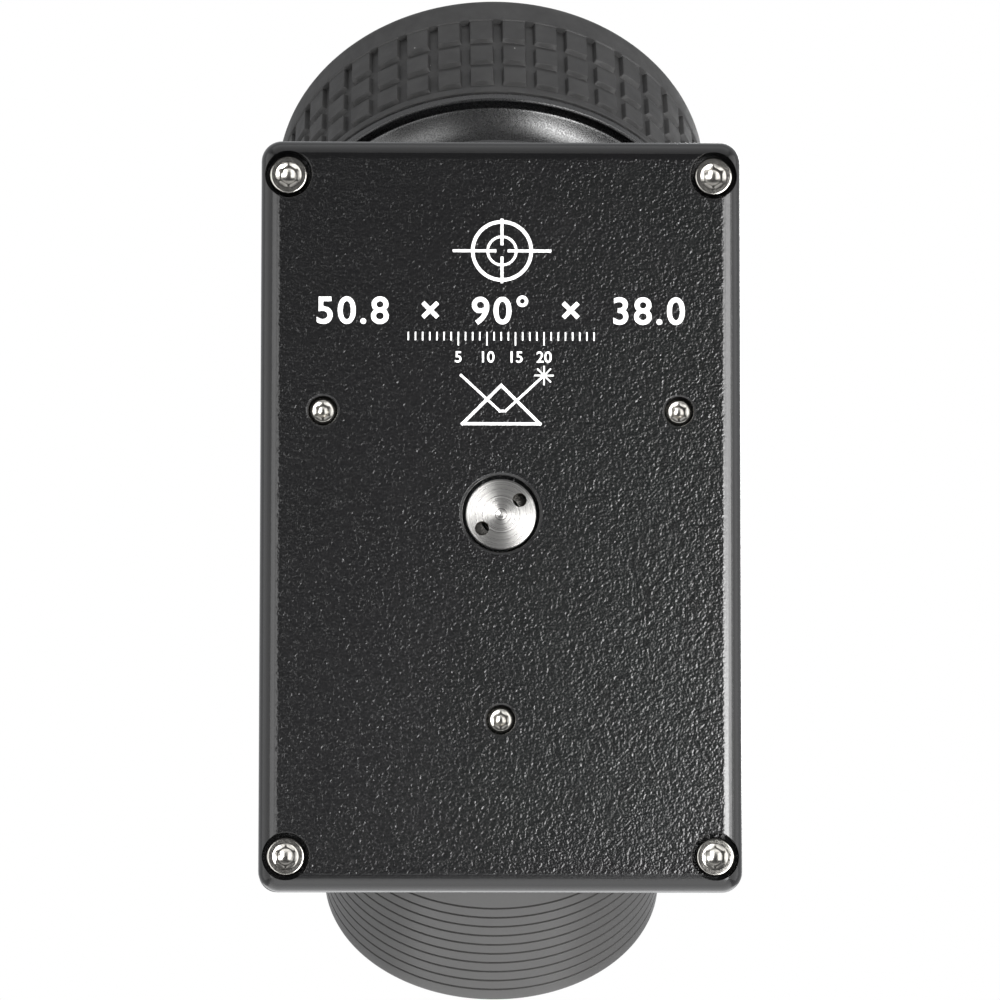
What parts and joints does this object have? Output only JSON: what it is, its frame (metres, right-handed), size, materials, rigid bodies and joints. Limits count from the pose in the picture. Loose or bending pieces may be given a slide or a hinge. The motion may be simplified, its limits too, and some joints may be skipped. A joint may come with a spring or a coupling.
{
  "type": "star diagonal",
  "caption": "Right-angle prism star diagonal: box housing with a screwed back cover, 2-inch barrel and a rubber-gripped twist-lock eyepiece socket.",
  "frame": {"origin": "centre of the nosepiece shoulder: the flange face that stops against a telescope's drawtube", "axes": "-Y points along the nosepiece barrel into the telescope, +Z along the eyepiece axis away from the housing, X is the width; the two optical axes meet 38 mm behind the shoulder at (0, 0.038, 0)"},
  "size_m": [0.0674, 0.1209, 0.1336],
  "materials": {
    "crinkle_coat": "black fine-crinkle powder coat on aluminium, satin on the rounded edges",
    "gloss_coat": "glossy black paint with a fine sparkle, on turned aluminium",
    "anodised": "black anodised, satin, turned",
    "matte_black": "dull black anti-reflection paint",
    "grip_rubber": "moulded black rubber with raised square pads",
    "stainless": "stainless steel, machined",
    "turned_aluminium": "bare metal with concentric turning marks",
    "brass": "machined brass",
    "prism_glass": "polished and coated optical glass",
    "cork": "thin cork sheet"
  },
  "bodies": {
    "root": {"housing": "crinkle_coat", "back_plate": "crinkle_coat", "cover_screw_top_left": "stainless", "cover_screw_top_right": "stainless", "cover_screw_bottom_left": "stainless", "cover_screw_bottom_right": "stainless", "nosepiece_flange": "anodised", "nosepiece_tube": "anodised", "nosepiece_baffle": "matte_black", "clamp_base": "gloss_coat", "jaw_carrier": "anodised", "cover_ring": "anodised", "tension_washer": "stainless"},
    "twist_ring": {"clamp_ring": "anodised", "cam_ring": "brass", "grip_sleeve": "grip_rubber"},
    "jaw_1": {"clamp_jaw_1": "brass"},
    "jaw_2": {"clamp_jaw_2": "brass"},
    "jaw_3": {"clamp_jaw_3": "brass"},
    "prism_cell": {"prism_carrier": "anodised", "amici_prism": "prism_glass", "prism_strap": "stainless", "strap_screw_left": "stainless", "strap_screw_right": "stainless", "strap_cushion": "cork", "side_cushion_left": "cork", "side_cushion_right": "cork"},
    "adjuster_left": {"adjusting_screw_left": "stainless"},
    "adjuster_right": {"adjusting_screw_right": "stainless"},
    "adjuster_low": {"adjusting_screw_low": "stainless"},
    "puller": {"tension_screw": "turned_aluminium"}
  },
  "joints": [
    {"name": "clamp_turn", "type": "hinge", "parent": "root", "child": "twist_ring", "pos_m": [0, 0.038, 0.07], "axis": [0, 0, 1], "range_deg": [0, 30]},
    {"name": "jaw_1_slide", "type": "slide", "parent": "root", "child": "jaw_1", "axis": [0, -1, 0], "range_m": [0, 0.0005]},
    {"name": "jaw_2_slide", "type": "slide", "parent": "root", "child": "jaw_2", "axis": [0.866, 0.5, 0], "range_m": [0, 0.0005]},
    {"name": "jaw_3_slide", "type": "slide", "parent": "root", "child": "jaw_3", "axis": [-0.866, 0.5, 0], "range_m": [0, 0.0005]},
    {"name": "prism_tilt", "type": "hinge", "parent": "root", "child": "prism_cell", "pos_m": [0, 0.05306, 0.00516], "axis": [1, 0, 0], "range_deg": [-0.5, 0.5]},
    {"name": "adjuster_low_travel", "type": "slide", "parent": "root", "child": "adjuster_low", "axis": [0, 0.7071, -0.7071], "range_m": [-0.0004, 0.0004]},
    {"name": "adjuster_left_turn", "type": "hinge", "parent": "root", "child": "adjuster_left", "pos_m": [0.02492, 0.05729, 0.00105], "axis": [0, 0.7071, -0.7071], "range_deg": [-180, 180]},
    {"name": "adjuster_right_turn", "type": "hinge", "parent": "root", "child": "adjuster_right", "pos_m": [-0.02492, 0.05729, 0.00105], "axis": [0, 0.7071, -0.7071], "range_deg": [-180, 180]},
    {"name": "puller_turn", "type": "hinge", "parent": "root", "child": "puller", "pos_m": [0, 0.04712, -0.00912], "axis": [0, 0.7071, -0.7071], "range_deg": [-180, 180]}
  ],
  "couplings": [
    {"joint": "jaw_1_slide", "follows": "clamp_turn", "m_per_rad": 0.00095483},
    {"joint": "jaw_2_slide", "follows": "clamp_turn", "m_per_rad": 0.00095483},
    {"joint": "jaw_3_slide", "follows": "clamp_turn", "m_per_rad": 0.00095483},
    {"joint": "adjuster_low_travel", "follows": "prism_tilt", "m_per_rad": 0.0429}
  ]
}
